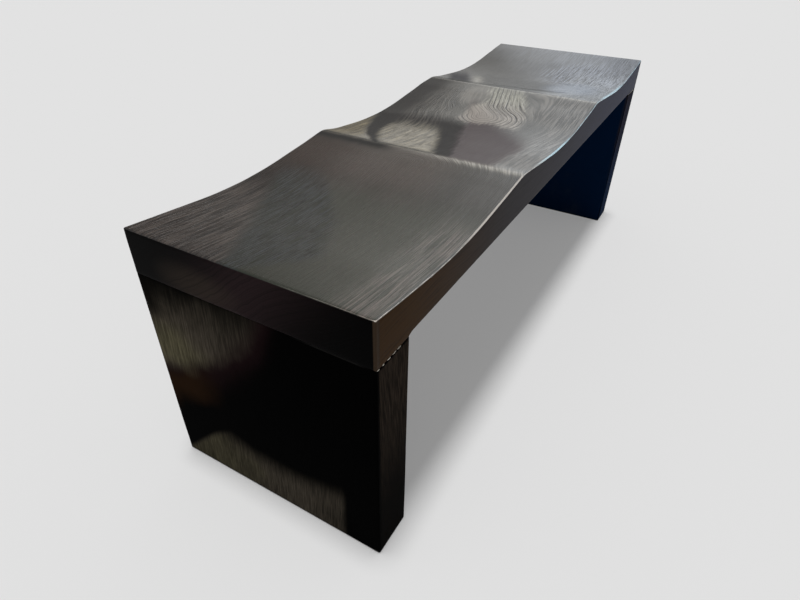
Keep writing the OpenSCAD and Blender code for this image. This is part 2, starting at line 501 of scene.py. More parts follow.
def leg_tree(finish):
    """The tree that grows a leg, and its inputs."""
    inputs = {
        "Place": LEG_CENTRE, "Thickness": LEG_THICKNESS, "Depth": BENCH_DEPTH, "Height": JOINT_HEIGHT,
        "Upright edge radius": UPRIGHT_EDGE_RADIUS, "Foot edge radius": FOOT_EDGE_RADIUS,
        "Joint edge radius": JOINT_EDGE_RADIUS, "Unevenness": SURFACE_UNEVENNESS,
        "Dents": 0.8 * MM, "Seed": 1.0, "Finish": finish,
    }
    tree, given = new_tree("Worn slab leg", inputs)
    size = (given["Thickness"], given["Depth"], given["Height"])
    block, (x, y, z), _, edge, (x_out, y_out, _) = worn_block(
        tree, size, LEG_CELLS, given["Upright edge radius"], given["Joint edge radius"],
        given["Foot edge radius"], given["Dents"], given["Seed"])
    wave = (noise(tree, (x, y, z + given["Seed"]), LEG_WAVE_SCALE) - 0.5) * given["Unevenness"]
    hollowed = given["Unevenness"] * PLANED_DEEPER + wave * SIDE_WAVE
    x = x - x_out * hollowed
    y = y - y_out * hollowed
    geometry = out(tree, "GeometryNodeSetPosition", {
        "Geometry": store(tree, block, "edge", edge), "Position": whole(tree, x, y, z)})
    spots = out(tree, "GeometryNodeMeshLine", {
        "Count": 3, "Start Location": (0.0, -TENON_ROW, 0.0), "Offset": (0.0, TENON_ROW, 0.0)})
    cutters = mortise_cutters(tree, spots, TENON_BOTTOM, JOINT_HEIGHT + CUTTER_OVERRUN)
    moved = out(tree, "GeometryNodeTransform", {
        "Geometry": cut(tree, geometry, cutters), "Translation": whole(tree, given["Place"], 0.0, 0.0)})
    give_out(tree, moved, (given["Finish"], True))
    return tree, inputs


print("a leg is divided into", LEG_CELLS, "cells")

# %% [markdown]
# ## Filler in the joint line
#
# Between slab and leg a fine groove runs round the joint. On the long sides, crumbs of pale filler
# show in it as a row of dashes. A row that follows a path is a job for Geometry Nodes: points
# along the groove, a crumb on each, and a random size and place, so that no row is even.

# %% Grow the filler crumbs
CRUMB_SPACING = 11.5 * MM
CRUMB_SLIP = 1.4 * MM
CRUMB_SMALLEST = (0.30, 0.8, 0.65)
CRUMB_LARGEST = (1.10, 1.1, 1.0)
FILLER_INSET = 4 * MM


def random_vector(tree, least, most, seed):
    """A random vector for each point."""
    return out(tree, "FunctionNodeRandomValue", {0: least, 1: most, "Seed": seed}, data_type="FLOAT_VECTOR")


def filler_tree(finish):
    """The tree that grows the crumbs of filler, and its inputs."""
    count = int((LEG_THICKNESS - 2 * FILLER_INSET) / CRUMB_SPACING)
    inputs = {
        "First": FILLER_INSET, "Spacing": CRUMB_SPACING, "Crumb length": 9.5 * MM,
        "Crumb height": 1.4 * MM, "Crumb depth": 1.6 * MM, "Depth in the groove": 0.3 * MM,
        "Seed": 5, "Finish": finish,
    }
    tree, given = new_tree("Filler crumbs", inputs)
    joined = put(tree, "GeometryNodeJoinGeometry")
    for leg_side in (-1, 1):
        for bench_side in (-1, 1):
            start = whole(tree, given["First"] + (leg_side * LEG_CENTRE - LEG_THICKNESS / 2),
                          (given["Depth in the groove"] - BENCH_DEPTH / 2) * -bench_side, JOINT_HEIGHT)
            row = out(tree, "GeometryNodeMeshLine", {
                "Count": count, "Start Location": start, "Offset": whole(tree, given["Spacing"], 0.0, 0.0)})
            tree.links.new(row, joined.inputs[0])
    crumb = out(tree, "GeometryNodeMeshIcoSphere", {"Radius": 0.5, "Subdivisions": 2})
    size = whole(tree, given["Crumb length"], given["Crumb depth"], given["Crumb height"])
    share = random_vector(tree, CRUMB_SMALLEST, CRUMB_LARGEST, given["Seed"])
    scale = out(tree, "ShaderNodeVectorMath", {0: size, 1: share}, operation="MULTIPLY")
    slip = random_vector(tree, (-CRUMB_SLIP, 0.0, 0.0), (CRUMB_SLIP, 0.0, 0.0), given["Seed"])
    slipped = out(tree, "GeometryNodeSetPosition", {"Geometry": joined.outputs[0], "Offset": slip})
    crumbs = out(tree, "GeometryNodeInstanceOnPoints",
                 {"Points": slipped, "Instance": crumb, "Scale": scale})
    give_out(tree, crumbs, (given["Finish"], True))
    return tree, inputs


print("crumbs every", round(CRUMB_SPACING / MM, 1), "mm")

# %% [markdown]
# ## Finishes
#
# A finish here is a formula for the colour and the sheen of the wood. All patterns read Object
# coordinates, in metres along the bench, towards the back and up, so they go through the wood like
# real figure. Colours are laid over each other like coats of stain.

# %% Helpers for finishes
def empty_material(name):
    material = bpy.data.materials.new(name)
    material.use_nodes = True
    material.node_tree.nodes.clear()
    return material, material.node_tree


def new_finish(name):
    """A material with one Principled shader, and the place in the wood as three numbers."""
    material, tree = empty_material(name)
    shader = put(tree, "ShaderNodeBsdfPrincipled")
    put(tree, "ShaderNodeOutputMaterial", {"Surface": shader.outputs[0]})
    return material, tree, shader, parts(tree, put(tree, "ShaderNodeTexCoord").outputs["Object"])


def kept(tree, name):
    """A number that Geometry Nodes kept on the mesh."""
    return Term(tree, put(tree, "ShaderNodeAttribute", attribute_name=name).outputs["Fac"])


def tint(tree, share, first, second):
    """Mix two colours: first where share is 0, second where it is 1 or more."""
    made = put(tree, "ShaderNodeMix", {"Factor": share}, data_type="RGBA")
    for key, colour in ((6, first), (7, second)):
        feed(tree, made.inputs[key], colour if isinstance(colour, bpy.types.NodeSocket) else (*colour, 1.0))
    return made.outputs[2]


def paint(tree, colour, *coats):
    """Lay colours over each other. Each coat is a share and the colour that shows there."""
    for share, shade in coats:
        colour = tint(tree, share, colour, shade)
    return colour


def bump(tree, height, distance):
    return out(tree, "ShaderNodeBump", {"Height": height, "Distance": distance, "Strength": 1.0})


def spot(across, along, centre, reach, edge_noise, soft=0.35):
    """1 inside a soft oval round a centre, 0 outside. edge_noise ruffles its rim."""
    a, b = (across - centre[0]) / reach[0], (along - centre[1]) / reach[1]
    return ((a * a + b * b).root() + edge_noise).fade(1.0 + soft, 1.0 - soft)


def ring_lines(distance, spacing):
    """Growth rings: 1 in the dark groove between two rings, 0 on the ring."""
    share = (distance / spacing).math("FRACT")
    return (share * 2.0 - 1.0).size().fade(0.50, 1.0)


def bell(distance, reach):
    """1 at distance 0, falling off smoothly to 0 past the reach on both sides."""
    return ((distance / reach) * (distance / reach) * -1.0).math("EXPONENT")


print("finish helpers are ready")

# %% [markdown]
# ## The figure of the seat
#
# On the real seat, growth rings run in a tongue round a knot. They are steps of a distance that
# noise bends a little, so one formula gives the rings and the fibres and pores that follow them.

# %% The figure of the seat: a tongue of growth rings
KNOT = (0.062, -0.006)
TONGUE_WIDTH = 75 * MM
SEAT_RING = 10 * MM


def seat_figure(tree, x, y, z):
    """The distance that the growth rings step along, and the fibres, bands and pores that follow it."""
    slow = noise(tree, (x * 0.45, y, z), 3.2)
    middle = x.fade(-0.10, 0.0) * x.fade(0.30, 0.20)
    wander = (slow - 0.5) * (middle * 0.012 + 0.016)
    wander = wander + (noise(tree, (x * 0.6, y, z), 17.0) - 0.5) * (middle * 0.005 + 0.0014)
    wander = wander + (noise(tree, (x, y, z), 62.0) - 0.5) * middle * 0.0014
    right, up = x - KNOT[0], y - KNOT[1]
    climb = right.fade(0.005, 0.062) * 0.030 + right.most(0.0).least(0.165) * 0.25
    across = up - climb * x.fade(0.40, 0.24) * up.fade(0.15, 0.05) * up.fade(-0.13, -0.02)
    closed = (1.0 - bell(right.least(0.0), 0.066)) * x.fade(-0.26, -0.20)
    ring = (across * across + closed * TONGUE_WIDTH**2 + 0.00002).root() + wander
    fibres = noise(tree, (x * 20.0, ring * 560.0, z * 20.0), 1.0, 2.0, 0.6)
    bands = noise(tree, (x * 3.0, ring * 120.0, z * 3.0), 1.0, 2.0, 0.6)
    pores = noise(tree, (x * 38.0, ring * 760.0, z * 38.0), 1.0, 1.0).fade(0.56, 0.68)
    return slow, ring, fibres, bands, pores


print("growth rings", round(SEAT_RING / MM, 1), "mm apart")

# %% [markdown]
# ## The finish of the seat
#
# The seat is stained near-black and rubbed to a satin sheen, so most of what shows on it is a soft
# reflection of the room. That is a dark base under a satin coat, which breaks up along the fibres
# and is weak in the dull bands. Larger areas say where the stain is browner, greyer or rubbed thin.
# Some beige and blue areas, and lines at the crests and along the front edge, are painted
# reflections, highlights and shade in the colour.

# %% The finish of the seat
STAIN_BLACK = (0.008, 0.0065, 0.006)
STREAK_BROWN = (0.078, 0.063, 0.054)
STROKE_GREY = (0.040, 0.045, 0.050)
OLIVE_GREY = (0.010, 0.0125, 0.007)
RUBBED_TAUPE = (0.040, 0.029, 0.024)
FRONT_TAUPE = (0.115, 0.090, 0.080)
VIOLET_BROWN = (0.020, 0.009, 0.012)
PAINTED_BEIGE_REFLECTION = (0.175, 0.145, 0.090)
RIDGE_PALE = (0.33, 0.295, 0.26)
RIDGE_OLIVE = (0.33, 0.32, 0.255)
BLUE_REFLECTION = (0.135, 0.15, 0.19)
SLATE = (0.012, 0.011, 0.016)
COLD_BLUE_REFLECTION = (0.085, 0.12, 0.19)
GROOVE_AND_SHADE_BLACK = (0.004, 0.0035, 0.003)
CREST_PALE = (0.40, 0.375, 0.33)
EDGE_CREAM = (0.62, 0.56, 0.50)
COOL_EDGE_HIGHLIGHT = (0.42, 0.66, 0.78)
SATIN = 0.16


def seat_finish():
    material, tree, shader, (x, y, z) = new_finish("dark_stained_seat")
    edge, past = kept(tree, "edge"), kept(tree, "past_crest")
    slow, ring, fibres, bands, pores = seat_figure(tree, x, y, z)
    lines = noise(tree, (x * 9.0, ring * 80.0, 0.0), 1.0, 1.0).fade(0.20, 0.62)
    lines = lines * ring_lines(ring, SEAT_RING)
    lines = lines * ring.fade(0.004, 0.018, 0.0, 0.55).most(ring.fade(0.018, 0.030))
    strands = noise(tree, (x * 14.0, ring * 290.0, 0.0), 1.0, 1.0).fade(0.38, 0.64)
    light = ((fibres - 0.36) * 3.2).most(0.0).least(1.0)
    streaky = ((bands * 0.25 + fibres * 0.35 - 0.285) * 5.2 + strands * 0.55).most(0.0).least(1.0)
    ruffle = noise(tree, (x * 0.7, y, z), 20.0, 3.0) - 0.5
    combed = noise(tree, (x * 22.0, y * 210.0, 0.0), 1.0) - 0.5
    rim = ruffle * 0.022 + combed * 0.024
    wavy = (noise(tree, (0.0, y, 0.0), 38.0, 3.0) - 0.5) * 0.012
    first, third = (x + wavy).fade(-0.2225, -0.2275), x.fade(0.222, 0.228)
    second = (1.0 - first) * (1.0 - third)

    # the first sitting place, nearest to the camera
    brown = (y - x * 0.52 - 0.371 + rim).fade(-0.016, 0.020) * first
    crest_side = x.fade(-0.50, -0.40) * (y + rim).fade(0.045, 0.165) * first
    under = x + 0.6
    charcoal = (y + 0.070 - under * 0.30 - under * under * 1.6 + rim).fade(-0.014, 0.022)
    charcoal = charcoal * (y + x * 0.8 + 0.545 + rim).fade(-0.01, 0.02) * x.fade(-0.33, -0.38)
    charcoal = charcoal * (1.0 - brown) * first
    olive = (x + ruffle * 0.06).fade(-0.31, -0.43) * (1.0 - brown) * first
    taupe = (x + ruffle * 0.06).fade(-0.43, -0.31) * (y + ruffle * 0.05).fade(-0.13, -0.04) * first
    front_left = (y + rim).fade(-0.13, -0.165) * x.fade(-0.38, -0.46) * first

    # the middle place: two beige patches of painted reflection round a dark swash, a violet patch, and the
    # knot
    in_second = x + HALF_PLACE
    outside_swash = y - 0.090 - in_second * 0.95 + in_second * in_second * 2.1 + rim * 0.6
    inside_swash = y - 0.075 - in_second * 0.78 + in_second * in_second * 2.4 + rim * 0.6
    over_bar = y + 0.031 - in_second * 0.40 + rim * 0.6
    beige_low = inside_swash.fade(0.008, -0.017) * over_bar.fade(-0.014, 0.016)
    beige_low = beige_low * (in_second + rim * 1.6).fade(0.205, 0.125)
    beige_back = outside_swash.fade(-0.009, 0.013) * (x + ruffle * 0.08).fade(0.0, -0.09)
    beige_reflection = (beige_low + beige_back) * second
    under_bar = y + 0.064 - in_second * 0.33 + rim
    violet = under_bar.fade(0.008, -0.014) * (y + rim).fade(-0.160, -0.135)
    violet = violet * (x - y * 0.88 - 0.080 + rim).fade(0.052, -0.045) * second
    dull = (x + rim).fade(0.058, -0.020) * under_bar.fade(-0.030, -0.004) * (1.0 - beige_reflection).most(0.0)
    dull = (dull * second).most((y + ruffle * 0.03).fade(0.085, 0.175) * 0.85 * second)
    upper_limit = x.fade(0.100, 0.135) * -0.016 + x.fade(0.150, 0.205) * 0.018 + 0.036
    lower_limit = (x - 0.09).most(0.0) * 0.42 - 0.094
    knot = (x + rim * 1.5).fade(0.012, 0.042) * (y - upper_limit + rim).fade(0.014, -0.012)
    knot = knot * (y - lower_limit + rim).fade(-0.012, 0.014) * x.fade(0.222, 0.180, 0.6, 1.0) * second
    smooth = spot(x, y, (0.165, 0.055), (0.055, 0.030), rim * 6.0, 0.4) * second
    back_streaks = spot(x, y, (0.06, 0.105), (0.15, 0.045), rim * 8.0, 0.4)

    # the last place: painted reflection, brighter and bluer towards the far end and in a blue patch, with a
    # dark slanting band behind
    slant = y - (x - HALF_PLACE) * 0.42 + rim * 0.5
    dark_band = slant.fade(0.072, 0.116) * slant.fade(0.184, 0.146) * x.fade(0.52, 0.29) * third
    smear = bell(slant - 0.080, 0.013) * x.fade(0.38, 0.27) * third
    brightening = (x - y * 0.9 + ruffle * 0.05).fade(0.33, 0.66)
    left_of_third = (1.0 - brightening) * y.fade(-0.11, -0.05) * (1.0 - smear * 0.8) * third
    far = brightening * third
    cold_reflection = spot(x, y, (0.340, -0.115), (0.075, 0.052), rim * 8.0, 0.6) * third
    bright_middle = spot(x, y, (0.555, 0.085), (0.06, 0.06), rim * 5.0, 0.5)
    upright = bell(x - 0.402 + ruffle * 0.01, 0.014) * y.fade(-0.045, -0.075) * y.fade(-0.172, -0.150)
    crest_shade = bell(x - 0.249 + y * 0.29 + rim, 0.014) * y.fade(0.01, -0.03)
    crest_shade = crest_shade * y.fade(-0.135, -0.105) * third
    corner = x.fade(0.50, 0.60) * (y + ruffle * 0.04).fade(-0.09, -0.16)
    strokes = spot(x, y, (0.485, -0.095), (0.10, 0.09), rim * 8.0, 0.4) * third

    # a strip along the front of the second and the third place, where the figure shows most
    front_limit = x.fade(0.04, 0.13) * x.fade(0.30, 0.20) * 0.065 - 0.145
    front = (y - front_limit + ruffle * 0.03).fade(0.028, -0.022) * (second + third)
    figured = most_of(knot, charcoal, strokes * 0.9, front * (0.9 - second * 0.4), beige_reflection * 0.9,
                      back_streaks * 0.9, brown * 0.9, front_left * 0.55, 0.35)
    figured = figured * (1.0 - violet * 0.85) * (1.0 - smooth * 0.7)

    # crests and the long edge in front: the stain is rubbed through there, and the crests carry painted
    # highlights on their near side and painted shade lines past them
    near_crest = bell(past + wavy * 0.6 + 0.003, 0.0085) * (1.0 - third) * (0.40 + strands * 0.6)
    crest_wear_and_highlight = near_crest * y.fade(0.045, -0.14) * x.fade(0.05, 0.15, 1.0, 0.5)
    crest_painted_shade = bell(past + wavy + 0.009, 0.016) * y.fade(0.02, 0.07) * x.fade(0.0, -0.1)
    crest_shade_line = bell(past + wavy * 0.5 - 0.005, 0.0045) * y.fade(-0.07, 0.0)
    thin_line = bell(past + wavy * 0.3 + 0.003, 0.0028) * second
    far_shade_line = bell(x - 0.237 - y.fade(0.07, 0.0) * 0.020 + wavy * 0.4, 0.013)
    far_shade_line = far_shade_line * third * y.fade(-0.14, -0.02, 0.3, 1.0)
    # the front arris is worn pale with a painted highlight, and painted glints lie along the front edge
    arris = 0.35 + noise(tree, (x * 3.0, y, z), 42.0, 3.0).fade(0.36, 0.60) * 0.65
    arris = arris * edge.fade(0.45, 0.9) * y.fade(-0.02, -0.16) * (0.30 + y.fade(-0.195, -0.2) * 0.70)
    painted_edge_glint = y.fade(-0.1955, -0.1995) * x.fade(0.25, 0.30) * x.fade(0.50, 0.42) * 0.7
    painted_edge_glint = painted_edge_glint + y.fade(-0.1985, -0.2005) * x.fade(-0.20, -0.12) * x.fade(0.06, -0.02) * 0.9
    painted_edge_glint = painted_edge_glint + y.fade(-0.1990, -0.2010) * x.fade(-0.48, -0.40) * x.fade(-0.215, -0.24) * 0.8
    back_edge = edge.fade(0.02, 0.2) * y.fade(0.17, 0.195)
    end_edge = edge.fade(0.05, 0.3) * x.fade(-0.667, -0.671)

    # the colours, from the stain up
    ridges = (1.0 - lines * 0.8) * (0.45 + light * 0.35 + strands * 0.2)
    pale_lines = front * second * (strands * 0.24 + light * 0.10) + back_streaks * strands * 0.12
    grooves = lines * knot * 0.42 + pores * (figured * 0.6 + charcoal * 0.3)
    colour = paint(
        tree, STAIN_BLACK,
        (olive, OLIVE_GREY),
        (brown * (1.0 - crest_side * 0.85) * streaky, STREAK_BROWN),
        (charcoal * light * 0.9, STROKE_GREY),
        (taupe * 0.8, RUBBED_TAUPE),
        (front_left * streaky * 0.8, FRONT_TAUPE),
        (violet, VIOLET_BROWN),
        (dark_band * 0.7, SLATE),
        # painted reflections: beige patches on the middle place and a beige smear on the last one
        (beige_reflection * (0.3 + streaky * 0.9), PAINTED_BEIGE_REFLECTION),
        (smear * (0.2 + strands * 0.4), PAINTED_BEIGE_REFLECTION),
        (knot * ridges, tint(tree, x.fade(0.08, 0.19), RIDGE_PALE, RIDGE_OLIVE)),
        (pale_lines + smooth * (0.12 + strands * 0.10), RIDGE_PALE),
        # painted reflection: a blue sheen towards the far end and a blue patch
        ((far * (0.32 + strands * 0.34) + strokes * strands * 0.8) * third, BLUE_REFLECTION),
        (cold_reflection * 0.60, COLD_BLUE_REFLECTION),
        (grooves, GROOVE_AND_SHADE_BLACK),
        # crests: wear with a painted highlight, then black lines of painted shade past them
        (crest_wear_and_highlight * 0.8 + thin_line * light * 0.4, CREST_PALE),
        (most_of(crest_shade_line, crest_painted_shade, far_shade_line * 0.8), GROOVE_AND_SHADE_BLACK),
        # painted highlight on the front edge: cream at the near end, cool further on
        (arris.most(painted_edge_glint), tint(tree, x.fade(-0.22, -0.05), EDGE_CREAM, COOL_EDGE_HIGHLIGHT)),
        (back_edge, GROOVE_AND_SHADE_BLACK))

    # how strong the satin coat is, and how the fibres break it
    matt = most_of(dull, dark_band * 0.95, crest_painted_shade, crest_shade_line * 0.8, crest_side * 0.9, far_shade_line * 0.9,
                   left_of_third * 0.55, violet, charcoal * 0.75, brown * 0.16, end_edge, back_edge,
                   upright * 0.5, crest_shade * 0.95, corner * far * 0.35, cold_reflection * 0.30)
    breaks = 1.0 - light * 0.55 - strands * 0.45
    broken = breaks * (0.15 + figured * 0.55) + pores * figured * 0.4 + lines * knot * 0.3
    strength = 0.97 - first * y.fade(-0.16, -0.12) * y.fade(0.05, -0.02) * 0.25 - far * 0.02
    strength = strength + (beige_back * 0.25 - beige_low * 0.06) * second + knot * 0.27
    strength = strength + front * second * 0.08 * x.fade(-0.16, -0.06) - taupe * 0.16 + smooth * 0.15
    strength = strength - front * x.fade(-0.03, -0.13) * x.fade(-0.222, -0.19) * 0.60
    strength = strength + front_left * 0.15 + bright_middle * 0.22
    dusty = most_of(dull, crest_painted_shade, left_of_third * 0.5, dark_band) * (1.0 - violet * 0.9)
    roughness = 0.34 + dusty * 0.32 - first * 0.07 + violet * 0.08 + (fibres - 0.5) * 0.12
    relief = ((fibres - 0.5) * 0.8 + (strands - 0.5) * 0.3 - pores * 0.3) * figured - lines * knot * 0.4
    normal = bump(tree, relief + (slow - 0.5), 0.5 * MM)
    feed_all(tree, shader, {
        "Base Color": colour,
        "Coat Weight": (1.0 - matt.least(1.0)) * (1.0 - broken.least(1.0)) * strength,
        "Coat Roughness": SATIN,
        "Specular IOR Level": 0.5,
        "Roughness": (roughness + back_edge.most(end_edge) * 0.4).least(1.0),
        "Normal": normal,
        "Coat Normal": normal,
    })
    return material


SEAT_FINISH = seat_finish()
print("seat finish:", len(SEAT_FINISH.node_tree.nodes), "nodes")

# %% [markdown]
# ## The finish of the legs
#
# The legs face away from the light, so they need no coat. On the near end a pale patch with a violet
# rim and a red-brown corner, and a second one along the foot, are painted reflections of the room
# laid in as colour; a few worn patches elsewhere are colour too. The navy tone of the far leg is a
# painted reflection as well.

# %% The finish of the legs
LEG_BLACK = (0.0004, 0.0004, 0.0004)
NAVY_REFLECTION = (0.0022, 0.013, 0.042)
OLIVE_WEAR_AND_REFLECTION = (0.150, 0.126, 0.096)
YELLOW_REFLECTION = (0.158, 0.141, 0.086)
RIM_VIOLET = (0.015, 0.007, 0.008)
RED_BROWN = (0.026, 0.012, 0.005)
LEG_BROWN = (0.038, 0.028, 0.021)
LEG_VIOLET = (0.028, 0.023, 0.031)
JOINT_GREY = (0.10, 0.095, 0.092)
LEG_GLINT = 0.004


def leg_finish():
    material, tree, shader, (x, y, z) = new_finish("dark_stained_leg")
    edge = kept(tree, "edge")
    slow = noise(tree, (x, y, z * 0.5), 4.0)
    ruffle = noise(tree, (x, y, z), 16.0, 3.0) - 0.5
    ring = y + x * 0.8 + z * 0.06 + (slow - 0.5) * 0.022
    ring = ring + (noise(tree, (x, y, z * 0.5), 20.0) - 0.5) * 0.003
    fibres = noise(tree, (ring * 420.0, z * 26.0, x * 5.0), 1.0, 2.0, 0.65)
    bands = noise(tree, (ring * 130.0, z * 4.0, x * 3.0), 1.0, 2.0, 0.6)
    streaky = ((bands * 0.2 + fibres * 0.8 - 0.39) * 3.8).most(0.0).least(1.0)
    near_end = x.fade(-0.666, -0.672)
    long_side = y.size().fade(0.194, 0.200)

    # the near end: a painted reflection of the room, a pale patch that ends in a curve, with a violet rim
    # and a red-brown corner
    forward = (0.08 - y).most(0.0)
    slope = z - 0.196 - (0.202 - y) * 0.45 - forward * forward * 5.5 + ruffle * 0.05
    glow = spot(y, z, (0.170, 0.250), (0.075, 0.045), ruffle * 0.8, 0.6)
    upper = slope.fade(-0.014, 0.036) * (slope + ruffle * 0.06).fade(0.150, 0.085, 0.14, 1.0)
    upper = upper * (0.58 + glow * 0.32) * (z + ruffle * 0.06).fade(0.385, 0.305, 0.22, 1.05)
    upper = upper * y.fade(0.02, 0.12, 0.72, 1.0)
    red = slope.fade(0.012, -0.030) * slope.fade(-0.095, -0.045) * (y + ruffle * 0.04).fade(0.07, 0.15)
    rim = bell(slope + 0.003, 0.032) * y.fade(-0.08, -0.02)
    corner_spot = spot(y, z, (0.151, 0.224), (0.024, 0.018), ruffle * 0.8, 0.6) * 0.30

    # and a second patch of painted reflection along its foot
    foot_top = z - 0.088 - (y + 0.02) * (y + 0.02) * 1.5 + ruffle * 0.016
    foot_left = z + y - 0.208 + (y - 0.10).fade(0.03, -0.03) * 0.012
    foot = foot_top.fade(0.018, -0.034) * foot_left.fade(0.006, -0.012)
    foot = foot * (y + ruffle * 0.01).fade(-0.146, -0.132)

    elsewhere = noise(tree, (x * 1.5, y, z * 0.7), 4.5) + ruffle * 0.3
    elsewhere = elsewhere.fade(0.52, 0.70) * (1.0 - near_end) * (1.0 - long_side)
    # painted reflection: a navy tone on the far leg's inner face and front
    towards_seat = x.fade(0.606, 0.601).most(y.fade(-0.192, -0.2)) * x.fade(0.0, 0.4)
    # brown grain on the long sides that fades out towards the foot; its tone, brown on the near leg and
    # violet on the far one, is painted reflection
    grain_and_reflected_tone = long_side * (1.0 - near_end) * z.fade(0.08, 0.34, 0.06, 1.0) * (0.3 + streaky * 0.9)
    wear_and_reflection_patches = (upper * 1.15 + corner_spot + foot * y.fade(-0.13, -0.07, 0.46, 0.62)) * near_end
    wear_and_reflection_patches = wear_and_reflection_patches + elsewhere * 0.25
    yellow = glow.most(foot * (y + ruffle * 0.2).fade(-0.02, 0.12) * 0.8)
    rim_painted_shade = edge.fade(0.02, 0.3).most(z.fade(0.372, 0.3745)) * (1.0 - near_end * z.fade(0.370, 0.373))
    joint_line = z.fade(0.3745, 0.3757) * (y + ruffle * 0.06).fade(-0.07, -0.13) * y.fade(-0.196, -0.17)
    colour = paint(
        tree, LEG_BLACK,
        (towards_seat, NAVY_REFLECTION),
        (grain_and_reflected_tone, tint(tree, x.fade(-0.2, 0.2), LEG_BROWN, LEG_VIOLET)),
        (rim * near_end * 0.8, RIM_VIOLET),
        (red * near_end * 0.85, RED_BROWN),
        # painted reflections on the near end, and worn patches elsewhere
        (wear_and_reflection_patches * (0.42 + streaky * 0.52 + ruffle * 0.45),
         tint(tree, yellow * near_end, OLIVE_WEAR_AND_REFLECTION, YELLOW_REFLECTION)),
        # painted shade: black along the edges, in the groove at the joint and in a thin line at the foot
        (rim_painted_shade.most(z.fade(0.0045, 0.0025)), LEG_BLACK),
        (joint_line * near_end * 0.16, JOINT_GREY))
    feed_all(tree, shader, {
        "Base Color": colour,
        "Roughness": 0.58 + fibres * 0.12,
        "Specular IOR Level": LEG_GLINT,
        "Normal": bump(tree, (fibres - 0.5) * (0.4 + wear_and_reflection_patches * 0.6), 0.35 * MM),
    })
    return material


LEG_FINISH = leg_finish()
print("leg finish:", len(LEG_FINISH.node_tree.nodes), "nodes")

# %% [markdown]
# ## The finish of the slab's sides
#
# The long sides show fine lines of grain. Their tone goes from brown at the near end through grey to
# a cool blue at the far front, which is a painted reflection of the room. The two ends are end
# grain, which takes up more stain and is darker.

# %% The finish of the slab's sides
SIDE_WARM = (0.050, 0.023, 0.006)
SIDE_GREY = (0.031, 0.027, 0.028)
SIDE_COOL_REFLECTION = (0.005, 0.010, 0.046)
SIDE_CORNER = (0.056, 0.037, 0.024)
SIDE_BACK = (0.016, 0.012, 0.009)
SIDE_PORE = (0.004, 0.0035, 0.0035)
END_VIOLET = (0.028, 0.0165, 0.018)
END_BROWN = (0.060, 0.046, 0.034)
SIDE_GLINT = 0.01


def side_finish():
    material, tree, shader, (x, y, z) = new_finish("dark_stained_side")
    edge = kept(tree, "edge")
    slow = noise(tree, (x * 0.4, y, z), 5.0)
    ring = z + y * 0.7 + (slow - 0.5) * 0.06 + (noise(tree, (x * 0.3, y, z), 30.0) - 0.5) * 0.01
    fibres = noise(tree, (x * 12.0, ring * 330.0, 0.0), 1.0, 2.0, 0.6)
    end_grain = x.size().fade(0.666, 0.672)
    end_patch = bell(y + (z - 0.4) * 0.8 - 0.010, 0.085)
    end_spot = spot(y, z, (0.075, 0.396), (0.055, 0.024), slow - 0.5, 0.6)
    end_colour = paint(tree, LEG_BLACK,
                       (end_patch * (0.4 + fibres), END_VIOLET), (end_spot * 0.45, END_BROWN))
    colour = paint(
        # painted reflection: brown at the near end, grey further on and cool blue at the far front
        tree, SIDE_WARM,
        (x.fade(-0.62, -0.25), SIDE_GREY),
        (x.fade(-0.40, 0.60) * y.fade(-0.15, -0.2), SIDE_COOL_REFLECTION),
        (y.fade(0.15, 0.2), SIDE_BACK),
        (end_grain, end_colour),
        ((0.5 - fibres).most(0.0) * 2.0, SIDE_PORE),
        (edge.fade(0.1, 0.6) * end_grain * z.fade(0.384, 0.392), LEG_BLACK),
        (end_grain * y.fade(-0.1975, -0.1990) * x.fade(0.0, -0.1), SIDE_CORNER))
    feed_all(tree, shader, {
        "Base Color": colour,
        "Roughness": 0.30 + slow * 0.08,
        "Specular IOR Level": SIDE_GLINT,
        "Normal": bump(tree, fibres - 0.5, 0.2 * MM),
    })
    return material


SIDE_FINISH = side_finish()
print("side finish:", len(SIDE_FINISH.node_tree.nodes), "nodes")

# %% [markdown]
# ## The finishes of the tenons and of the filler
#
# The tenons are plain wood that nobody sees until the bench is taken apart, so a pale tone with a
# few rings is enough. The filler is dull and crumbly.

# %% The finishes of the tenons and of the filler
TENON_DEEP = (0.42, 0.27, 0.145)
TENON_PALE = (0.56, 0.40, 0.235)
TENON_RING = (0.30, 0.175, 0.085)
FILLER_DULL = (0.34, 0.31, 0.26)
FILLER_PALE = (0.66, 0.62, 0.54)


def tenon_finish():
    material, tree, shader, (x, y, z) = new_finish("pale_tenon")
    ring = y + (noise(tree, (x, y, z * 0.3), 20.0) - 0.5) * 0.02
    fibres = noise(tree, (ring * 500.0, z * 18.0, x * 400.0), 1.0)
    colour = paint(tree, TENON_DEEP, (fibres, TENON_PALE), (ring_lines(ring, 4.5 * MM) * 0.5, TENON_RING))
    feed_all(tree, shader, {
        "Base Color": colour,
        "Roughness": 0.6 + fibres * 0.15,
        "Normal": bump(tree, fibres, 0.15 * MM),
    })
    return material


def filler_finish():
    material, tree, shader, place = new_finish("pale_filler")
    grain = noise(tree, place, 900.0)
    feed_all(tree, shader, {
        "Base Color": tint(tree, grain.fade(0.35, 0.7), FILLER_DULL, FILLER_PALE),
        "Roughness": 0.75 + grain * 0.1,
        "Normal": bump(tree, grain, 0.1 * MM),
    })
    return material


TENON_FINISH = tenon_finish()
FILLER_FINISH = filler_finish()
print("tenon and filler finish:", TENON_FINISH.name, "and", FILLER_FINISH.name)

# %% [markdown]
# ## Put the bench together
#
# Each grown piece stands for its CAD node, carries the finish that its tree lays on, and rides on the
# one body that this fixed bench has. The tenons keep their CAD shape and only get a finish.

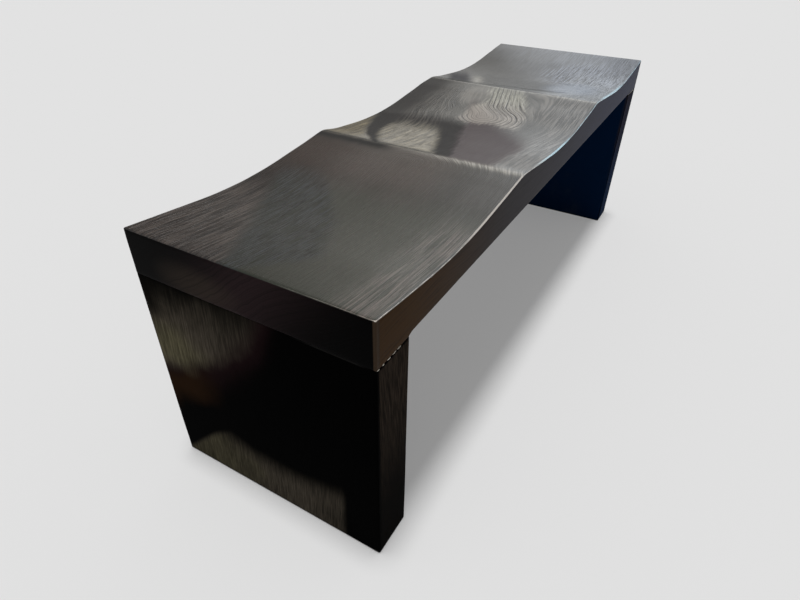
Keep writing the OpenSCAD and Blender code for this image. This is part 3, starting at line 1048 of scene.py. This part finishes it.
# %% Make the pieces
seat = grow("seat_slab_carved", *seat_tree(SEAT_FINISH, SIDE_FINISH))
shaper, leg_inputs = leg_tree(LEG_FINISH)
left_leg = grow("left_leg_worn", shaper, {**leg_inputs, "Place": -LEG_CENTRE, "Seed": 1.0})
right_leg = grow("right_leg_worn", shaper, {**leg_inputs, "Place": LEG_CENTRE, "Seed": 2.0})
filler = grow("joint_filler", *filler_tree(FILLER_FINISH))

for piece, node in ((seat, "seat_slab"), (left_leg, "left_leg"), (right_leg, "right_leg")):
    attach(piece, "root")
    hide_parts(node)
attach(filler, "root")
for name, cad_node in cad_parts.items():
    if name.endswith("_tenon"):
        cad_node.data.materials.clear()
        cad_node.data.materials.append(TENON_FINISH)

# %% [markdown]
# ## Studio
#
# The bench stands on a wide pale floor. A soft light straight above gives the shadow under the
# bench, and an even pale sky fills in. Part of the floor's paleness is shown only to the camera and
# to reflections, so the floor stays even without more light on the wood. A satin finish mirrors the
# sky, so the mirrored sky has a form of its own: a cool side as from a window, a neutral one, a dim
# brown one, a duller belt higher up and a bright zenith. The lamp is left out of reflections, because
# its glare would make the wood look like steel.

# %% Floor, sky and lamp
FLOOR_PALE = 0.7605
FLOOR_GLOW = 0.20
FLOOR_REACH = 40.0
FLOOR_DROP = 0.2 * MM
SKY_PALE = 0.76
SKY_FILL = 0.25
SKY_COOL = (0.88, 0.94, 1.0)
SKY_NEUTRAL = (0.97, 0.95, 0.88)
SKY_DIM = (0.10, 0.085, 0.08)
SKY_BELT = (0.70, 0.69, 0.68)
SKY_ZENITH = (1.60, 1.58, 1.55)
DIM_SIDE = math.radians(78)
OVERHEAD = 0.75
LAMP_SPREAD = math.radians(10)
LAMP_LEAN = math.radians(-0.8)


def rays_of(tree, *kinds):
    """1 for the named kinds of rays, 0 for the others."""
    rays = put(tree, "ShaderNodeLightPath")
    return most_of(*[Term(tree, rays.outputs[f"Is {kind} Ray"]) for kind in kinds])


def floor_finish():
    material, tree = empty_material("plain_floor")
    pale = FLOOR_PALE - FLOOR_GLOW
    plain = out(tree, "ShaderNodeBsdfDiffuse", {"Color": (pale, pale, pale, 1.0)})
    glow = out(tree, "ShaderNodeEmission", {
        "Color": (1.0, 1.0, 1.0, 1.0),
        "Strength": rays_of(tree, "Camera", "Glossy", "Transmission") * FLOOR_GLOW})
    both = out(tree, "ShaderNodeAddShader", {0: plain, 1: glow})
    put(tree, "ShaderNodeOutputMaterial", {"Surface": both})
    return material


corners = [(x * FLOOR_REACH, y * FLOOR_REACH, 0.0) for x, y in ((-1, -1), (1, -1), (1, 1), (-1, 1))]
floor_mesh = bpy.data.meshes.new("floor")
floor_mesh.from_pydata(corners, [], [(0, 1, 2, 3)])
floor_mesh.materials.append(floor_finish())
floor = add_object("floor", floor_mesh)
floor.location.z = -FLOOR_DROP

world = bpy.data.worlds.new("pale_sky")
world.use_nodes = True
bpy.context.scene.world = world
sky = world.node_tree
sky.nodes.clear()
across, inward, height = parts(sky, put(sky, "ShaderNodeTexCoord").outputs["Generated"])
level = (across * across + inward * inward).root().most(0.001)
to_dim_side = (across * math.cos(DIM_SIDE) + inward * math.sin(DIM_SIDE)) / level
mirrored = paint(
    sky, SKY_COOL,
    (to_dim_side.fade(0.30, 0.68), SKY_NEUTRAL),
    (to_dim_side.fade(0.45, 0.97), SKY_DIM),
    (height.fade(0.55, 0.80), SKY_BELT),
    (height.fade(0.80, 0.97), SKY_ZENITH))
shown, sheen, fill = [
    out(sky, "ShaderNodeBackground", {"Color": colour, "Strength": strength})
    for colour, strength in (((SKY_PALE, SKY_PALE, SKY_PALE, 1.0), 1.0), (mirrored, 1.0),
                             ((1.0, 1.0, 1.0, 1.0), SKY_FILL))]
lit = out(sky, "ShaderNodeMixShader", {0: rays_of(sky, "Glossy"), 1: fill, 2: sheen})
lit = out(sky, "ShaderNodeMixShader", {0: rays_of(sky, "Camera", "Transmission"), 1: lit, 2: shown})
put(sky, "ShaderNodeOutputWorld", {"Surface": lit})

lamp = bpy.data.lights.new("overhead", "SUN")
lamp.energy = OVERHEAD * math.pi
lamp.angle = LAMP_SPREAD
lamp_object = add_object("overhead", lamp)
lamp_object.rotation_euler = (LAMP_LEAN, 0.0, 0.0)
lamp_object.visible_glossy = False
print("floor shows", round(FLOOR_PALE, 3), "of white where nothing shades it")

# %% [markdown]
# ## Camera
#
# The camera was solved from the straight edges of the bench itself. It stands close to the near end
# and looks down at it, which is why the near end looks so big.

# %% Camera
PICTURE_WIDTH = 800
PICTURE_HEIGHT = 600
FOCAL_PIXELS = 566.37
PICTURE_CENTRE = (390.31, 311.50)
SENSOR_MM = 36.0
SIGHT_REACH = 200.0
EYE = Vector((-1.0748, -0.4596, 0.8160))
LOOKING = Vector((0.68890, 0.41216, -0.59628))
PICTURE_UP = Vector((0.51085, 0.30753, 0.80278))

camera = bpy.data.cameras.new("camera")
camera.sensor_width = SENSOR_MM
camera.lens = FOCAL_PIXELS / PICTURE_WIDTH * SENSOR_MM
camera.shift_x = (PICTURE_WIDTH / 2 - PICTURE_CENTRE[0]) / PICTURE_WIDTH
camera.shift_y = (PICTURE_CENTRE[1] - PICTURE_HEIGHT / 2) / PICTURE_WIDTH
camera.clip_end = SIGHT_REACH
right = LOOKING.cross(PICTURE_UP).normalized()
up = right.cross(LOOKING).normalized()
turned = Matrix((right, up, -LOOKING.normalized())).transposed().to_4x4()
camera_object = add_object("camera", camera)
camera_object.matrix_world = Matrix.Translation(EYE) @ turned
bpy.context.scene.camera = camera_object
bpy.context.scene.view_settings.view_transform = "Standard"
print(f"lens {camera.lens:.2f} mm, shift {camera.shift_x:.4f}, {camera.shift_y:.4f}")
